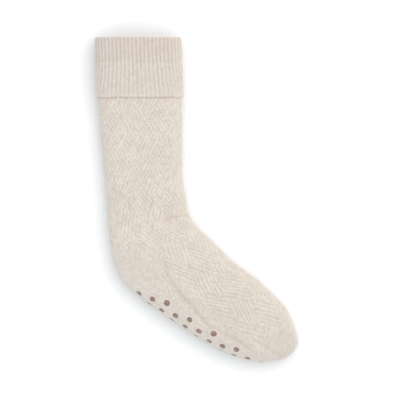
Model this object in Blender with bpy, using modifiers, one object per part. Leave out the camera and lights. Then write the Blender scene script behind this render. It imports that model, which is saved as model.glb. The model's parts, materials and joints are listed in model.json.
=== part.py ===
"""Knitted slipper sock, lying empty on its side.

One knitted tube runs down the leg, turns at the heel and closes at the toe. Its ribbed top is
folded down outside as a cuff, and rubber grip dots are cured on to the sole.
X runs forward to the toe, Y up the leg and Z up from the floor. The origin is on the floor, under
the middle of the sock's box.
"""
import math

import bmesh
import bpy
import numpy as np

MM = 0.001

# Driving sizes of the knit
KNIT_WALL = 2.4 * MM
CUFF_WALL = 2.4 * MM
SEAT_GAP = 0.3 * MM
CUFF_DEPTH = 68.0 * MM
CUFF_STANDOFF = SEAT_GAP + CUFF_WALL
FOLD_HEIGHT = CUFF_WALL
HEM_ROUND = 1.0 * MM
SETTLE_LENGTH = 26.0 * MM

# Driving sizes of the grip dots
DOT_RADIUS = 3.5 * MM
DOT_TOP_RADIUS = 2.3 * MM
DOT_HEIGHT = 0.8 * MM
DOT_CROWN = 0.2 * MM
DOT_SIDES = 12
COLUMN_STEP = 16.1 * MM
ROW_STEP = 7.35 * MM
ROW_LIFT = 2.4 * MM
FIRST_COLUMN = 5.9 * MM
STRAIGHT_COLUMNS = 6
TOE_DRIFT = 2.9 * MM
FLOOR_CLEARANCE = 1.0 * MM
DOT_ROWS = ((-1, 1), (-2, 0, 2), (-3, -1, 1, 3))
COLUMN_KINDS = (0, 1, 2, 1, 2, 1, 2, 1, 2, 1, 0)

# Fineness of the facets
SIDES = 36
RING_STEP = 9.0 * MM
TOE_RING_STEP = 5.5 * MM
OUTLINE_SAMPLES = 120
CUFF_STATIONS = 3
CUFF_WALL_RINGS = 4
FOLD_RINGS = 5

# Sections of the tube, from the rim down the leg, round the heel and out to the toe, in mm.
# forward, down: the instep edge, from the leg's front line and the top of the fold
# turn:          degrees that the section has turned from square across the leg
# width:         flat width, from the instep edge to the back or sole edge
# waist:         height of the widest line above the floor
# rise, depth:   how far the knit rounds above and below that line; the floor cuts the depth flat
# fullness:      2 is an ellipse, more is a flatter crown with rounder edges
COLUMNS = ("forward", "down", "turn", "width", "waist", "rise", "depth", "fullness")
SECTIONS = {
    "rim":         (-3.3,   2.7,  0.0,  92.0, 21.5, 20.0, 20.0, 3.8),
    "cuff_middle": (-1.9,  36.0,  0.0,  92.4, 21.5, 20.0, 20.0, 3.8),
    "cuff_hem":    (-0.7,  68.0,  0.0,  92.6, 21.5, 20.0, 20.0, 3.8),
    "calf":        (0.0,   93.0,  0.0,  92.0, 19.5, 20.5, 20.7, 3.8),
    "shin":        (0.0,  138.0,  0.0,  88.0, 19.0, 20.5, 20.2, 3.8),
    "lower_leg":   (0.6,  161.0,  0.0,  86.3, 19.0, 20.5, 20.2, 3.8),
    "ankle":       (4.0,  181.5,  1.5,  88.0, 19.5, 21.0, 20.7, 3.8),
    "instep_bend": (6.2,  196.5,  6.5,  89.7, 20.0, 22.0, 21.2, 3.7),
    "heel_back":   (10.8, 206.5, 16.0,  94.5, 20.5, 23.0, 21.7, 3.7),
    "heel_round":  (17.6, 215.7, 23.1, 101.2, 21.0, 23.5, 22.2, 3.6),
    "short_heel":  (25.5, 223.6, 29.2, 106.0, 21.0, 24.0, 22.2, 3.6),
    "heel_seat":   (33.5, 231.0, 33.0, 104.2, 21.0, 24.0, 22.2, 3.6),
    "arch":        (43.1, 240.6, 37.2, 100.4, 21.0, 24.0, 22.2, 3.6),
    "instep":      (55.0, 253.0, 40.4,  95.4, 21.5, 24.0, 22.7, 3.6),
    "waist":       (69.8, 264.0, 45.0,  93.1, 21.5, 24.0, 22.7, 3.6),
    "ball":        (84.0, 274.0, 50.6,  90.3, 21.5, 24.0, 22.7, 3.6),
    "tread":       (97.0, 286.0, 55.7,  84.5, 21.5, 23.5, 22.7, 3.5),
    "toe_base":   (109.5, 298.0, 60.6,  76.2, 21.0, 22.3, 22.2, 3.3),
    "toe_full":   (119.2, 309.3, 64.5,  64.5, 20.5, 19.6, 21.0, 3.0),
    "toe_round":  (125.4, 322.3, 67.4,  47.3, 20.2, 15.2, 16.5, 2.6),
    "toe_end":    (130.0, 335.4, 69.0,  28.6, 20.0,  9.4, 10.4, 2.3),
    "tip":        (131.1, 349.0, 70.0,   0.0, 20.0,  0.0,  0.0, 2.0),
}

# Colours are linear, with their roughness
OATMEAL_KNIT = ((0.70, 0.63, 0.56), 0.95)
OATMEAL_RIB = ((0.69, 0.61, 0.54), 0.95)
MAUVE_RUBBER = ((0.33, 0.24, 0.22), 0.55)


def plan_edges(rows):
    """Instep edge and sole edge of each row, seen from above."""
    forward, down, turn, width = (rows[..., COLUMNS.index(name)] for name in COLUMNS[:4])
    across = np.stack([np.cos(turn), np.sin(turn)], axis=-1)
    front = np.stack([forward, -down], axis=-1)
    return front, front - width[..., None] * across


def row_slopes():
    """Change of each size along the tube; at the tip the edges close square across, so the toe is round."""
    slopes = np.gradient(ROWS, PLACES, axis=0)
    turn = ROWS[-1][COLUMNS.index("turn")]
    closing = slopes[-1][COLUMNS.index("width")] / 2
    for name, slope in (("forward", closing * math.cos(turn)), ("down", -closing * math.sin(turn)),
                        ("turn", 0.0), ("waist", 0.0)):
        slopes[-1][COLUMNS.index(name)] = slope
    return slopes


UNITS = {"turn": math.radians(1.0), "fullness": 1.0}
ROWS = np.array(list(SECTIONS.values())) * [UNITS.get(name, MM) for name in COLUMNS]
FRONT_EDGE, BACK_EDGE = plan_edges(ROWS)
EDGE_STEPS = (np.linalg.norm(np.diff(FRONT_EDGE, axis=0), axis=1)
              + np.linalg.norm(np.diff(BACK_EDGE, axis=0), axis=1)) / 2
PLACES = np.concatenate([[0.0], np.cumsum(EDGE_STEPS)])
SLOPES = row_slopes()
STATION = dict(zip(SECTIONS, PLACES))


def sizes_at(place):
    """One row of sizes at a place along the tube, on a smooth curve through the table's rows."""
    low = min(int(np.searchsorted(PLACES, place, side="right")) - 1, len(PLACES) - 2)
    low = max(low, 0)
    span = PLACES[low + 1] - PLACES[low]
    t = (place - PLACES[low]) / span
    ease = t * t * (3 - 2 * t)
    leave = t * (1 - t) ** 2 * span
    arrive = t * t * (t - 1) * span
    return ROWS[low] * (1 - ease) + ROWS[low + 1] * ease + SLOPES[low] * leave + SLOPES[low + 1] * arrive


def floor_under(down):
    """Height that the folded cuff lifts the leg, which settles on to the floor below the hem."""
    t = min(max((down - CUFF_DEPTH) / SETTLE_LENGTH, 0.0), 1.0)
    return CUFF_STANDOFF * (1 - t * t * (3 - 2 * t))


def half_outline(sizes, grow, side):
    """Fine outline of a section's upper (side 1) or lower (side -1) half, from sole edge to instep edge."""
    size = dict(zip(COLUMNS, sizes))
    reach = size["width"] / 2 + grow
    bulge = max((size["rise"] if side > 0 else size["depth"]) + grow, 0.0)
    angle = np.linspace(0.0, math.pi, OUTLINE_SAMPLES + 1)
    crown = np.cos(angle)
    across = -reach * np.sign(crown) * np.abs(crown) ** (2 / size["fullness"])
    height = size["waist"] + side * bulge * np.sin(angle)
    floor = max(floor_under(size["down"]) - grow, 0.0)
    return across, np.maximum(height, floor)


def along(across, height):
    """Length along an outline at each of its samples."""
    return np.concatenate([[0.0], np.cumsum(np.hypot(np.diff(across), np.diff(height)))])


def place_in_plan(sizes, across, height):
    """Points of a section set in the sock's frame."""
    size = dict(zip(COLUMNS, sizes))
    front, back = plan_edges(sizes)
    middle = (front + back) / 2
    return np.stack([middle[0] + across * math.cos(size["turn"]),
                     middle[1] + across * math.sin(size["turn"]),
                     height + 0 * across], axis=-1)


def ring(place, grow=0.0):
    """One ring of points round the tube, evenly spaced over the top and then back underneath."""
    sizes = sizes_at(place)
    halves = []
    for side in (1, -1):
        across, height = half_outline(sizes, grow, side)
        length = along(across, height)
        even = np.linspace(0.0, length[-1], SIDES // 2 + 1)
        half = np.stack([np.interp(even, length, across), np.interp(even, length, height)])
        halves.append(half[:, :-1] if side > 0 else half[:, :0:-1])
    across, height = np.concatenate(halves, axis=1)
    return place_in_plan(sizes, across, height)


def knit_surface(place, round_sole):
    """Point of the knit's outer face: round_sole is the length up from the sole edge, or down if negative."""
    sizes = sizes_at(place)
    across, height = half_outline(sizes, 0.0, 1 if round_sole >= 0 else -1)
    length = along(across, height)
    there = abs(round_sole)
    return place_in_plan(sizes, np.interp(there, length, across), np.interp(there, length, height))


def surface_frame(place, round_sole, step=0.2 * MM):
    """Point, its two surface directions and the outward normal."""
    point = knit_surface(place, round_sole)
    down_tube = (knit_surface(place + step, round_sole) - knit_surface(place - step, round_sole)) / (2 * step)
    round_tube = (knit_surface(place, round_sole + step) - knit_surface(place, round_sole - step)) / (2 * step)
    normal = np.cross(down_tube, round_tube)
    return point, down_tube, round_tube, normal / np.linalg.norm(normal)


def ring_places():
    """Places of the body's rings: every table row, and even steps between them."""
    places = []
    for start, end in zip(PLACES[:-1], PLACES[1:]):
        step = TOE_RING_STEP if start >= STATION["toe_full"] else RING_STEP
        count = max(1, round((end - start) / step))
        places.extend(np.linspace(start, end, count, endpoint=False))
    return places


def cuff_profile():
    """Closed outline of the folded cuff as (distance down from the fold, growth from the leg's face)."""
    wall_downs = np.linspace(FOLD_HEIGHT, CUFF_DEPTH - HEM_ROUND, CUFF_WALL_RINGS)
    outer = [(down, CUFF_STANDOFF) for down in wall_downs]
    hem = [(CUFF_DEPTH, CUFF_STANDOFF - HEM_ROUND), (CUFF_DEPTH, SEAT_GAP + HEM_ROUND)]
    inner = [(down, SEAT_GAP) for down in wall_downs[::-1]]
    over_rim = [(FOLD_HEIGHT, -KNIT_WALL)]
    middle = (CUFF_STANDOFF - KNIT_WALL) / 2
    half_fold = (CUFF_STANDOFF + KNIT_WALL) / 2
    fold = []
    for angle in np.linspace(0.0, math.pi, FOLD_RINGS + 2)[1:-1]:
        fold.append((FOLD_HEIGHT * (1 - math.sin(angle)), middle - half_fold * math.cos(angle)))
    return outer + hem + inner + over_rim + fold


def cuff_rings():
    """Rings of the cuff, square across the leg at each distance down from the fold."""
    rings = []
    for down, grow in cuff_profile():
        place = float(np.interp(down, ROWS[:CUFF_STATIONS, COLUMNS.index("down")], PLACES[:CUFF_STATIONS]))
        points = ring(place, grow)
        points[:, 1] = -down
        rings.append(points)
    return rings


BODY_RINGS = [ring(place) for place in ring_places()]
CUFF_RINGS = cuff_rings()
TIP_POINT = place_in_plan(ROWS[-1], 0.0, ROWS[-1][COLUMNS.index("waist")])
PLAN_POINTS = np.concatenate(BODY_RINGS + CUFF_RINGS + [TIP_POINT[None]])[:, :2]
PLAN_CENTRE = np.append((PLAN_POINTS.min(axis=0) + PLAN_POINTS.max(axis=0)) / 2, 0.0)


def make_material(name, look):
    """Plain surface with the colour and roughness of the real one."""
    colour, roughness = look
    material = bpy.data.materials.new(name)
    material.use_nodes = True
    shader = material.node_tree.nodes["Principled BSDF"]
    shader.inputs["Base Color"].default_value = (*colour, 1.0)
    shader.inputs["Roughness"].default_value = roughness
    return material


def add_part(name, bm, material, collection):
    """Turns a mesh under construction into a named, smooth-shaded object of the sock."""
    mesh = bpy.data.meshes.new(name)
    bm.to_mesh(mesh)
    bm.free()
    mesh.materials.append(material)
    mesh.shade_smooth()
    part = bpy.data.objects.new(name, mesh)
    collection.objects.link(part)
    return part


def loft(bm, rings, closed):
    """Quads between successive rings; a closed loft joins the last ring to the first."""
    loops = [[bm.verts.new(point - PLAN_CENTRE) for point in points] for points in rings]
    pairs = list(zip(loops[:-1], loops[1:]))
    if closed:
        pairs.append((loops[-1], loops[0]))
    for upper, lower in pairs:
        for side in range(SIDES):
            after = (side + 1) % SIDES
            bm.faces.new((upper[side], lower[side], lower[after], upper[after]))
    return loops


def make_body(collection):
    """Leg, heel, foot and toe, knitted whole: one open surface given its wall inwards."""
    bm = bmesh.new()
    toe_loop = loft(bm, BODY_RINGS, closed=False)[-1]
    tip = bm.verts.new(TIP_POINT - PLAN_CENTRE)
    for side in range(SIDES):
        bm.faces.new((toe_loop[side], tip, toe_loop[(side + 1) % SIDES]))
    body = add_part("knit_body", bm, make_material("oatmeal_knit", OATMEAL_KNIT), collection)
    wall = body.modifiers.new("wall", "SOLIDIFY")
    wall.thickness = KNIT_WALL
    wall.offset = -1.0
    wall.use_even_offset = True
    return body


def make_cuff(collection):
    """Ribbed band that rolls over the leg's rim and hangs down outside it."""
    bm = bmesh.new()
    loft(bm, CUFF_RINGS, closed=True)
    bm.normal_update()
    bmesh.ops.recalc_face_normals(bm, faces=bm.faces)
    return add_part("rib_cuff", bm, make_material("oatmeal_rib", OATMEAL_RIB), collection)


def sole_place(distance):
    """Place along the tube that lies this far along the sole edge from the heel seat."""
    places = np.linspace(STATION["heel_seat"], STATION["tip"], 4 * OUTLINE_SAMPLES)
    edge = np.array([plan_edges(sizes_at(place))[1] for place in places])
    length = np.concatenate([[0.0], np.cumsum(np.linalg.norm(np.diff(edge, axis=0), axis=1))])
    return float(np.interp(distance, length, places))


def sole_heading(place, step=1.0 * MM):
    """Direction of the sole edge at a place, seen from above."""
    ahead = plan_edges(sizes_at(place + step))[1] - plan_edges(sizes_at(place - step))[1]
    return np.append(ahead / np.linalg.norm(ahead), 0.0)


def walk_round(place, round_sole, heading, distance, steps=16):
    """Walks round the tube square to the heading and returns where it ends on the surface."""
    for _ in range(steps):
        _, down_tube, round_tube, normal = surface_frame(place, round_sole)
        stride = np.cross(normal, heading) * distance / steps
        move = np.linalg.lstsq(np.stack([down_tube, round_tube], axis=1), stride, rcond=None)[0]
        place += move[0]
        round_sole += move[1]
    return place, round_sole


def dot_mesh(centre, heading):
    """Low rubber dome, wrapped on to the sole a seat gap off the knit."""
    bm = bmesh.new()
    bmesh.ops.create_cone(bm, segments=DOT_SIDES, radius1=DOT_RADIUS, radius2=DOT_TOP_RADIUS,
                          depth=DOT_HEIGHT, cap_ends=True)
    caps = [face for face in bm.faces if len(face.verts) == DOT_SIDES]
    tops = [face for face in caps if face.normal.z > 0]
    bottoms = [face for face in caps if face.normal.z < 0]
    bmesh.ops.poke(bm, faces=tops, offset=DOT_CROWN)
    bmesh.ops.poke(bm, faces=bottoms)
    place, round_sole = centre
    _, down_tube, round_tube, normal = surface_frame(place, round_sole)
    tangents = np.stack([down_tube, round_tube], axis=1)
    sideways = np.cross(normal, heading)
    for vert in bm.verts:
        offset = heading * vert.co.x + sideways * vert.co.y
        move = np.linalg.lstsq(tangents, offset, rcond=None)[0]
        point, _, _, outward = surface_frame(place + move[0], round_sole + move[1])
        lift = SEAT_GAP + vert.co.z + DOT_HEIGHT / 2
        vert.co = point + outward * lift - PLAN_CENTRE
    return bm


def make_dots(collection):
    """Grip dots in columns across the sole, every other column shifted by half a step.

    The rows run straight on where the toe curves up, and stop short of the face that the sock lies on.
    """
    rubber = make_material("mauve_rubber", MAUVE_RUBBER)
    count = 0
    for column, kind in enumerate(COLUMN_KINDS):
        place = sole_place(FIRST_COLUMN + column * COLUMN_STEP)
        heading = sole_heading(place)
        middle = ROW_LIFT - TOE_DRIFT * max(column - STRAIGHT_COLUMNS, 0)
        for row in DOT_ROWS[kind]:
            centre = walk_round(place, 0.0, heading, middle + row * ROW_STEP)
            bm = dot_mesh(centre, heading)
            if min(vert.co.z for vert in bm.verts) < FLOOR_CLEARANCE:
                bm.free()
                continue
            count += 1
            add_part(f"grip_dot_{count:02d}", bm, rubber, collection)
    return count


def main():
    for old in list(bpy.data.objects):
        bpy.data.objects.remove(old, do_unlink=True)
    sock = bpy.data.collections.new("slipper_sock")
    bpy.context.scene.collection.children.link(sock)
    make_body(sock)
    make_cuff(sock)
    dots = make_dots(sock)
    print("slipper sock: knit body, rib cuff and", dots, "grip dots")


main()
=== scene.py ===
# %% [markdown]
# # A knitted slipper sock, lying on its side
# The sock is one knitted tube: a leg, a turned heel, a foot and a closed toe. Its ribbed top is folded
# down outside as a cuff, and rubber dots are cured on to the sole so that it grips the floor. The packed
# solids are loaded first and are never moved. Everything below is dressed around them, in their own
# frame: X forward to the toe, Y up the leg and Z up from the floor, in metres.

# %% Load the frame
import json
import math

import bpy
import numpy as np
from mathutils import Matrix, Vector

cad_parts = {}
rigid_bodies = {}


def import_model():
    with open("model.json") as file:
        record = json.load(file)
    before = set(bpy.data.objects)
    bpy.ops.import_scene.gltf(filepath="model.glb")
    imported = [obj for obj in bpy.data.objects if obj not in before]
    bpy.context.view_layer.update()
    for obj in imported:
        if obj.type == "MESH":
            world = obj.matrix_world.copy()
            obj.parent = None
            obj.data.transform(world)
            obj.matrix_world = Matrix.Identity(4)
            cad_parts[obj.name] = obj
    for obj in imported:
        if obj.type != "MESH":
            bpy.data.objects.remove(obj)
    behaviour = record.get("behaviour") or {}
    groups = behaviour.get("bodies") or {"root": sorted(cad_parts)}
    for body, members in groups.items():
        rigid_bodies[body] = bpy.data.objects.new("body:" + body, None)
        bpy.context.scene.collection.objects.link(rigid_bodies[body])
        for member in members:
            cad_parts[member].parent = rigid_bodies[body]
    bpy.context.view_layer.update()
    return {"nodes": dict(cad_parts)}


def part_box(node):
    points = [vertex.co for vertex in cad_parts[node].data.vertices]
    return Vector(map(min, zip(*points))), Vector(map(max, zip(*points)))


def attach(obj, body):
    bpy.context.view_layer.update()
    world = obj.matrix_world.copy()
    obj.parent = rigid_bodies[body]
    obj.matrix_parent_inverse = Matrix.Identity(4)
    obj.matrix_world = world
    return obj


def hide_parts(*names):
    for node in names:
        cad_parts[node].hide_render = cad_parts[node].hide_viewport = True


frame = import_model()
MM = 0.001

# %% [markdown]
# ## The last: sections of the tube
# A sock on a last is a row of soft sections, each with a place for its instep edge, a turn, a width and a
# height. The solids were lofted through the table below, so the dressed knit runs through the same table
# and keeps their form. A sculpted mesh could come close, but it would drift from the solids.

# %% Section table
# forward, down: the instep edge, in mm, from the leg's front line and from the top of the fold
# turn: degrees from square across the leg; width: flat width, from the instep edge to the sole edge
# waist: height of the widest line; rise, depth: how far the knit rounds above and below it
# fullness: 2 is an ellipse, and more is squarer
COLUMNS = ("forward", "down", "turn", "width", "waist", "rise", "depth", "fullness")
SECTIONS = {
    "rim":         (-3.3,   2.7,  0.0,  92.0, 21.5, 20.0, 20.0, 3.8),
    "cuff_middle": (-1.9,  36.0,  0.0,  92.4, 21.5, 20.0, 20.0, 3.8),
    "cuff_hem":    (-0.7,  68.0,  0.0,  92.6, 21.5, 20.0, 20.0, 3.8),
    "calf":        (0.0,   93.0,  0.0,  92.0, 19.5, 20.5, 20.7, 3.8),
    "shin":        (0.0,  138.0,  0.0,  88.0, 19.0, 20.5, 20.2, 3.8),
    "lower_leg":   (0.6,  161.0,  0.0,  86.3, 19.0, 20.5, 20.2, 3.8),
    "ankle":       (4.0,  181.5,  1.5,  88.0, 19.5, 21.0, 20.7, 3.8),
    "instep_bend": (6.2,  196.5,  6.5,  89.7, 20.0, 22.0, 21.2, 3.7),
    "heel_back":   (10.8, 206.5, 16.0,  94.5, 20.5, 23.0, 21.7, 3.7),
    "heel_round":  (17.6, 215.7, 23.1, 101.2, 21.0, 23.5, 22.2, 3.6),
    "short_heel":  (25.5, 223.6, 29.2, 106.0, 21.0, 24.0, 22.2, 3.6),
    "heel_seat":   (33.5, 231.0, 33.0, 104.2, 21.0, 24.0, 22.2, 3.6),
    "arch":        (43.1, 240.6, 37.2, 100.4, 21.0, 24.0, 22.2, 3.6),
    "instep":      (55.0, 253.0, 40.4,  95.4, 21.5, 24.0, 22.7, 3.6),
    "waist":       (69.8, 264.0, 45.0,  93.1, 21.5, 24.0, 22.7, 3.6),
    "ball":        (84.0, 274.0, 50.6,  90.3, 21.5, 24.0, 22.7, 3.6),
    "tread":       (97.0, 286.0, 55.7,  84.5, 21.5, 23.5, 22.7, 3.5),
    "toe_base":   (109.5, 298.0, 60.6,  76.2, 21.0, 22.3, 22.2, 3.3),
    "toe_full":   (119.2, 309.3, 64.5,  64.5, 20.5, 19.6, 21.0, 3.0),
    "toe_round":  (125.4, 322.3, 67.4,  47.3, 20.2, 15.2, 16.5, 2.6),
    "toe_end":    (130.0, 335.4, 69.0,  28.6, 20.0,  9.4, 10.4, 2.3),
    "tip":        (131.1, 349.0, 70.0,   0.0, 20.0,  0.0,  0.0, 2.0),
}
UNITS = {"turn": math.radians(1.0), "fullness": 1.0}
ROWS = np.array(list(SECTIONS.values())) * [UNITS.get(name, MM) for name in COLUMNS]
print("sections:", len(ROWS), "from", next(iter(SECTIONS)), "to", list(SECTIONS)[-1])

# %% [markdown]
# A place along the tube is its length down the middle, the mean of the instep edge's and the sole edge's.
# Between the rows every size follows one smooth curve. A straight loft would show a kink at each row. At
# the tip the two edges close square across the foot, so the toe comes out round and not pointed.

# %% Smooth curve through the table


def smooth(t):
    """Soft step from 0 to 1."""
    t = np.clip(t, 0.0, 1.0)
    return t * t * (3 - 2 * t)


def plan_edges(rows):
    """Instep edge and sole edge of each row, seen from above."""
    forward, down, turn, width = (rows[..., COLUMNS.index(name)] for name in COLUMNS[:4])
    across = np.stack([np.cos(turn), np.sin(turn)], axis=-1)
    front = np.stack([forward, -down], axis=-1)
    return front, front - width[..., None] * across


def row_slopes():
    """Change of each size along the tube; at the tip the edges close square across."""
    slopes = np.gradient(ROWS, PLACES, axis=0)
    turn = ROWS[-1][COLUMNS.index("turn")]
    closing = slopes[-1][COLUMNS.index("width")] / 2
    for name, slope in (("forward", closing * math.cos(turn)), ("down", -closing * math.sin(turn)),
                        ("turn", 0.0), ("waist", 0.0)):
        slopes[-1][COLUMNS.index(name)] = slope
    return slopes


EDGE_STEPS = [np.linalg.norm(np.diff(edge, axis=0), axis=1) for edge in plan_edges(ROWS)]
PLACES = np.concatenate([[0.0], np.cumsum((EDGE_STEPS[0] + EDGE_STEPS[1]) / 2)])
SLOPES = row_slopes()
TUBE_LENGTH = PLACES[-1]


def sizes_at(place):
    """One row of sizes at a place along the tube."""
    low = min(max(int(np.searchsorted(PLACES, place, side="right")) - 1, 0), len(PLACES) - 2)
    span = PLACES[low + 1] - PLACES[low]
    t = (place - PLACES[low]) / span
    ease = smooth(t)
    leave = t * (1 - t) ** 2 * span
    arrive = t * t * (t - 1) * span
    return ROWS[low] * (1 - ease) + ROWS[low + 1] * ease + SLOPES[low] * leave + SLOPES[low + 1] * arrive


print("tube:", round(TUBE_LENGTH / MM, 1), "mm from rim to tip")

# %% [markdown]
# Each section is a flat-crowned oval that the floor cuts off below. A ring of points runs from the sole
# edge over the top to the instep edge and back underneath, and each point also knows its length from the
# instep edge. That length and the place along the tube are the two directions of the knit, so every
# stitch below is placed by them. The folded cuff lifts the top of the leg by its own thickness and the
# gap between them, and below the hem the leg settles on the floor.

# %% Rings of points round the tube
KNIT_WALL = 2.4 * MM
CUFF_WALL = 2.4 * MM
SEAT_GAP = 0.3 * MM
CUFF_STANDOFF = SEAT_GAP + CUFF_WALL
CUFF_DEPTH = 68.0 * MM
SETTLE_LENGTH = 26.0 * MM
OUTLINE_SAMPLES = 360
CUFF_LOW, CUFF_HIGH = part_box("rib_cuff")
RIM = dict(zip(COLUMNS, ROWS[0]))
PLAN_CENTRE = np.array([RIM["forward"] - RIM["width"] - CUFF_STANDOFF - CUFF_LOW.x, -CUFF_HIGH.y, 0.0])


def floor_under(down):
    """Height that the folded cuff lifts the leg."""
    return CUFF_STANDOFF * (1 - smooth((down - CUFF_DEPTH) / SETTLE_LENGTH))


def half_outline(sizes, grow, side):
    """Fine outline of a section's upper (side 1) or lower (side -1) half, from sole edge to instep edge."""
    size = dict(zip(COLUMNS, sizes))
    reach = size["width"] / 2 + grow
    bulge = max((size["rise"] if side > 0 else size["depth"]) + grow, 0.0)
    angle = np.linspace(0.0, math.pi, OUTLINE_SAMPLES + 1)
    crown = np.cos(angle)
    across = -reach * np.sign(crown) * np.abs(crown) ** (2 / size["fullness"])
    height = size["waist"] + side * bulge * np.sin(angle)
    floor = max(floor_under(size["down"]) - grow, 0.0)
    return across, np.maximum(height, floor)


def section_ring(place, over, under, grow=0.0):
    """Points round one section and their length from the instep edge, negative underneath.

    over and under are shares of the way from the sole edge to the instep edge, over the top and underneath.
    """
    sizes = sizes_at(place)
    size = dict(zip(COLUMNS, sizes))
    front, back = plan_edges(sizes)
    middle = (front + back) / 2
    points = []
    from_instep = []
    for side, shares in ((1, over), (-1, under)):
        across, height = half_outline(sizes, grow, side)
        length = np.concatenate([[0.0], np.cumsum(np.hypot(np.diff(across), np.diff(height)))])
        there = np.interp(shares * length[-1], length, across)
        points.append(np.stack([middle[0] + there * math.cos(size["turn"]),
                                middle[1] + there * math.sin(size["turn"]),
                                np.interp(shares * length[-1], length, height)], axis=-1))
        from_instep.append(side * (1 - shares) * length[-1])
    return np.concatenate(points) - PLAN_CENTRE, np.concatenate(from_instep)


print("plan centre in mm:", [round(v / MM, 2) for v in PLAN_CENTRE])

# %% [markdown]
# ## The knitted cable chart
# Leg and instep are knitted in a diagonal basket weave: blocks of travelling ridges that lean one way,
# set chequerwise between blocks that lean the other way. It could be painted as bump, but the ridges
# stand about a millimetre proud and show in the outline, so they are real relief. The chart is worked out
# from two repeats, one round the tube and one along it. A point's two diagonal chart coordinates then say
# which block it is in.

# %% Chart of the blocks
REPEAT_ROUND = 30.5 * MM
REPEATS_IN_ALL = 7
UNDER_REPEAT_ON_FOOT = 33.0 * MM
FIRST_BLOCK = 3.1 * MM
# Place along the tube, in mm, and how many repeats are knitted by there: the foot is a little slacker
CHART_ALONG = ((0.0, 0.0), (180.0, 4.0), (226.8, 5.0), (442.8, 9.0))
HEEL_STARTS = 225.0 * MM
HEEL_DONE = 265.0 * MM
# Blocks sway by this share of a repeat, on a quick and a slow wave along the tube, as hand-laid cloth does
SWAY = 0.012
QUICK_WAVE = 11.3
QUICK_WAVE_ROUND = 2.0
SLOW_WAVE = 5.1
SLOW_WAVE_START = 1.0


def foot_share(place):
    """0 on the leg, 1 on the foot, passing softly round the heel."""
    return smooth((place - HEEL_STARTS) / (HEEL_DONE - HEEL_STARTS))


def chart_round(place, from_instep, top_length, under_length):
    """Repeats round the tube, stretched underneath so that the leg closes on whole repeats."""
    closing = under_length / (REPEATS_IN_ALL - top_length / REPEAT_ROUND)
    slack = foot_share(place)
    under_repeat = closing * (1 - slack) + UNDER_REPEAT_ON_FOOT * slack
    repeats = np.where(from_instep >= 0, from_instep / REPEAT_ROUND, from_instep / under_repeat)
    return repeats - FIRST_BLOCK / REPEAT_ROUND


def chart_diagonals(around, along):
    """The two diagonal chart coordinates."""
    quick = np.sin(along * QUICK_WAVE + QUICK_WAVE_ROUND * np.sin(around * 2 * math.pi))
    sway = SWAY * (quick + np.sin(along * SLOW_WAVE + SLOW_WAVE_START))
    return along - around + sway, along + around - sway


print("chart:", REPEATS_IN_ALL, "repeats round and", CHART_ALONG[-1][1], "along")

# %% [markdown]
# Inside a block the ridges are round, and each tucks under the next block at its ends. They run a little
# steeper than their block, and no two are drawn quite as tight, as on a real machine. A table of random
# heights would do the same, but a number worked out from the block and the ridge needs no table and comes
# out the same each time.

# %% Ridges in a block
RIDGES_IN_BLOCK = 6
# Share of a block that its ridges drift across it
STEEPEN_FORWARD = -0.065
STEEPEN_BACK = -0.15
RIDGE_ROUNDNESS = 0.8
TUCK_SHARE = 0.05
TUCK_DEPTH = 0.5
UNEVENNESS = 0.35
# A sine of these, spread wide, gives each ridge a number that looks random
MIX_OF_BLOCKS = (12.9898, 78.233)
MIX_OF_RIDGE = 37.719
MIX_SPREAD = 43758.5453


def ridge_blocks(first, second):
    """Height share of the ridges at two diagonal chart coordinates."""
    first_block = np.round(first)
    second_block = np.round(second)
    leans_forward = (first_block + second_block) % 2 == 0
    across = np.where(leans_forward, second - second_block, first - first_block) + 0.5
    run = np.where(leans_forward, first - first_block, second - second_block)
    across = across + np.where(leans_forward, STEEPEN_FORWARD, STEEPEN_BACK) * run
    ridge = (0.5 - 0.5 * np.cos(2 * math.pi * RIDGES_IN_BLOCK * across)) ** RIDGE_ROUNDNESS
    tuck = 1 - TUCK_DEPTH * (1 - smooth((0.5 - np.abs(run)) / TUCK_SHARE))
    number = np.floor(RIDGES_IN_BLOCK * across)
    mixed = MIX_OF_BLOCKS[0] * first_block + MIX_OF_BLOCKS[1] * second_block + MIX_OF_RIDGE * number
    tension = np.sin(mixed) * MIX_SPREAD
    uneven = 1 - UNEVENNESS * (tension - np.floor(tension))
    return ridge * tuck * uneven


print("ridges in a block:", RIDGES_IN_BLOCK)

# %% [markdown]
# Heel, sole and toe are plain stocking stitch. Their edge is drawn as one line of points, and it is the
# same on both sides of the sock: the length round from the instep edge at places along the tube.

# %% Plain knit
# Place along the tube and length from the instep edge where plain knit starts, in mm
PLAIN_EDGE = ((216.0, 124.0), (221.0, 116.0), (228.5, 91.0), (237.0, 72.0), (250.0, 67.5), (300.0, 68.0),
              (380.0, 68.5), (394.0, 62.0), (399.0, 50.0), (404.0, 30.0), (407.0, 10.0), (408.0, -5.0))
PLAIN_SOFTNESS = 2.0 * MM


def plain_share(place, from_instep):
    """1 in the plain heel, sole and toe, 0 in the cable blocks."""
    places, edges = (np.array(side) * MM for side in zip(*PLAIN_EDGE))
    past = np.abs(from_instep) - np.interp(place, places, edges)
    return smooth(0.5 + past / (2 * PLAIN_SOFTNESS))


print("plain knit: edge of", len(PLAIN_EDGE), "points")
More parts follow.
